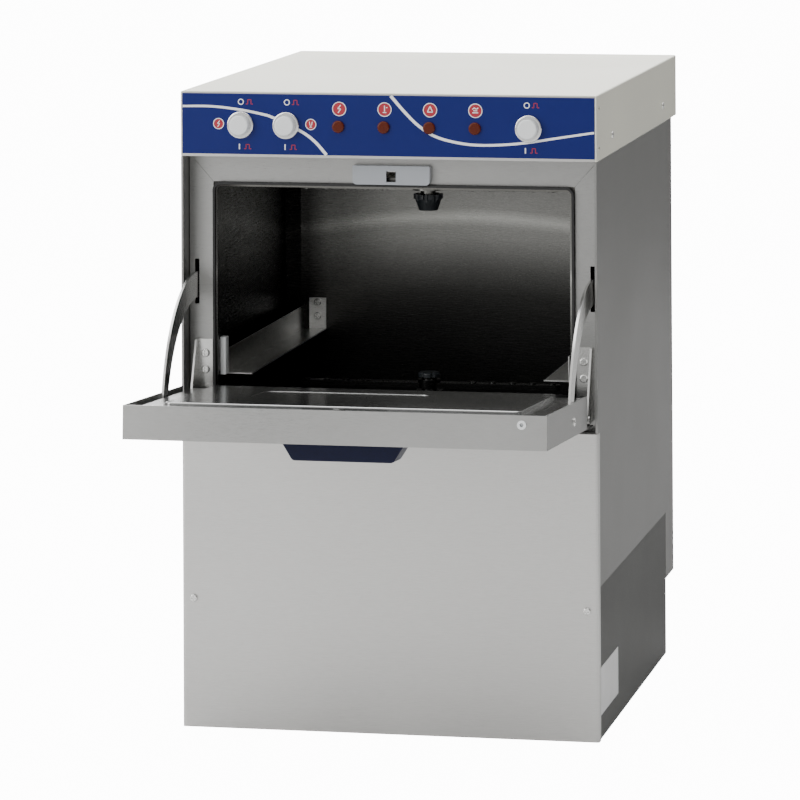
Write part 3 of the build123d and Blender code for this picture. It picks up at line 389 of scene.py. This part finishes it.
# ------------------------------------------------------------------ floor, light, camera
bpy.ops.mesh.primitive_plane_add(size=30, location=(0, 0, -0.0005))
floor = bpy.context.object
floor.name = "floor"
floor.data.materials.append(MATS["floor_pale"])
ft = MATS["floor_pale"].node_tree
fo = next(n for n in ft.nodes if n.type == "OUTPUT_MATERIAL")
fe = ft.nodes.new("ShaderNodeEmission")
fe.inputs["Strength"].default_value = 17.0
fl = ft.nodes.new("ShaderNodeLightPath")
ff = ft.nodes.new("ShaderNodeMath")
ff.operation = "MULTIPLY"
ff.inputs[1].default_value = 0.78
ft.links.new(fl.outputs["Is Camera Ray"], ff.inputs[0])
fm = ft.nodes.new("ShaderNodeMixShader")
ft.links.new(ff.outputs[0], fm.inputs[0])
# a dark flag behind the machine, seen only in its reflections
fb = ft.nodes["Principled BSDF"]
fsrc = fb.inputs["Base Color"].links[0].from_socket
fc = ft.nodes.new("ShaderNodeTexCoord")
fs = ft.nodes.new("ShaderNodeSeparateXYZ")
ft.links.new(fc.outputs["Object"], fs.inputs[0])
fr = ft.nodes.new("ShaderNodeMapRange")
fr.inputs["From Min"].default_value, fr.inputs["From Max"].default_value = 0.1, 0.6
fr.inputs["To Min"].default_value, fr.inputs["To Max"].default_value = 1.0, 0.45
ft.links.new(fs.outputs["Y"], fr.inputs["Value"])
fx = ft.nodes.new("ShaderNodeMath")
fx.operation = "MAXIMUM"
ft.links.new(fr.outputs["Result"], fx.inputs[0])
ft.links.new(fl.outputs["Is Camera Ray"], fx.inputs[1])
fv = ft.nodes.new("ShaderNodeVectorMath")
fv.operation = "SCALE"
ft.links.new(fsrc, fv.inputs[0])
ft.links.new(fx.outputs[0], fv.inputs["Scale"])
ft.links.new(fv.outputs[0], fb.inputs["Base Color"])
ft.links.new(fb.outputs[0], fm.inputs[1])
ft.links.new(fe.outputs[0], fm.inputs[2])
ft.links.new(fm.outputs[0], fo.inputs["Surface"])

world = bpy.data.worlds.new("studio")
bpy.context.scene.world = world
world.use_nodes = True
wn, wl = world.node_tree.nodes, world.node_tree.links
wn.clear()
out = wn.new("ShaderNodeOutputWorld")
tc = wn.new("ShaderNodeTexCoord")
sep = wn.new("ShaderNodeSeparateXYZ")
wl.new(tc.outputs["Generated"], sep.inputs[0])
rx = wn.new("ShaderNodeMapRange")
rx.inputs["From Min"].default_value, rx.inputs["From Max"].default_value = -0.9, 0.95
rx.inputs["To Min"].default_value, rx.inputs["To Max"].default_value = 0.95, 0.16
wl.new(sep.outputs["X"], rx.inputs["Value"])
rz = wn.new("ShaderNodeMapRange")
rz.inputs["From Min"].default_value, rz.inputs["From Max"].default_value = -0.2, 1.0
rz.inputs["To Min"].default_value, rz.inputs["To Max"].default_value = 0.85, 1.75
wl.new(sep.outputs["Z"], rz.inputs["Value"])
mul = wn.new("ShaderNodeMath")
mul.operation = "MULTIPLY"
wl.new(rx.outputs[0], mul.inputs[0])
wl.new(rz.outputs[0], mul.inputs[1])
bg = wn.new("ShaderNodeBackground")
wl.new(mul.outputs[0], bg.inputs["Strength"])
bg.inputs["Color"].default_value = (1.0, 0.995, 0.98, 1)
bgc = wn.new("ShaderNodeBackground")
bgc.inputs["Color"].default_value = (1, 1, 1, 1)
bgc.inputs["Strength"].default_value = 14.0
lp = wn.new("ShaderNodeLightPath")
mixs = wn.new("ShaderNodeMixShader")
wl.new(lp.outputs["Is Camera Ray"], mixs.inputs[0])
wl.new(bg.outputs[0], mixs.inputs[1])
wl.new(bgc.outputs[0], mixs.inputs[2])
wl.new(mixs.outputs[0], out.inputs["Surface"])


def area(name, loc, target, size, power):
    ld = bpy.data.lights.new(name, "AREA")
    ld.shape = "RECTANGLE"
    ld.size, ld.size_y = size
    ld.energy = power
    lo = bpy.data.objects.new(name, ld)
    bpy.context.collection.objects.link(lo)
    lo.location = loc
    lo.rotation_euler = (Vector(target) - Vector(loc)).to_track_quat("-Z", "Y").to_euler()
    lo.visible_camera = False
    return lo


area("key_left", (-2.2, -2.6, 1.5), (0, 0, 0.35), (1.6, 2.2), 55)
area("top_soft", (0.0, 0.1, 2.6), (0, 0.1, 0.6), (2.2, 2.2), 38)
area("back_card", (-0.7, 3.6, 1.5), (0, 0.1, 0.65), (3.4, 1.4), 75)

cam_data = bpy.data.cameras.new("camera")
cam = bpy.data.objects.new("camera", cam_data)
bpy.context.collection.objects.link(cam)
cam_data.sensor_width = 36.0
cam_data.lens = 4729.39 * 36 / 800
cam_data.clip_start, cam_data.clip_end = 0.5, 60
CAM = (0.997794, -4.688299 - OY, 1.056749)
rot = Matrix(((0.979643, 0.007453, 0.200609), (0.200692, -0.012968, -0.979569), (-0.0047, 0.999888, -0.0142)))
cam.rotation_mode = "QUATERNION"
cam.rotation_quaternion = rot.to_quaternion()
cam.location = CAM
bpy.context.scene.camera = cam
for prop, value in (("shift_x", -0.025925), ("shift_y", -0.97)):
    # a rising-front lens: the shift only applies at the main camera position
    d = cam_data.driver_add(prop).driver
    d.type = "SCRIPTED"
    for vname, kind in (("cx", "LOC_X"), ("cz", "LOC_Z")):
        v = d.variables.new()
        v.name = vname
        v.type = "TRANSFORMS"
        v.targets[0].id = cam
        v.targets[0].transform_type = kind
        v.targets[0].transform_space = "WORLD_SPACE"
    d.expression = f"({value}) if (abs(cx - {CAM[0]}) < 0.002 and abs(cz - {CAM[2]}) < 0.002) else 0.0"
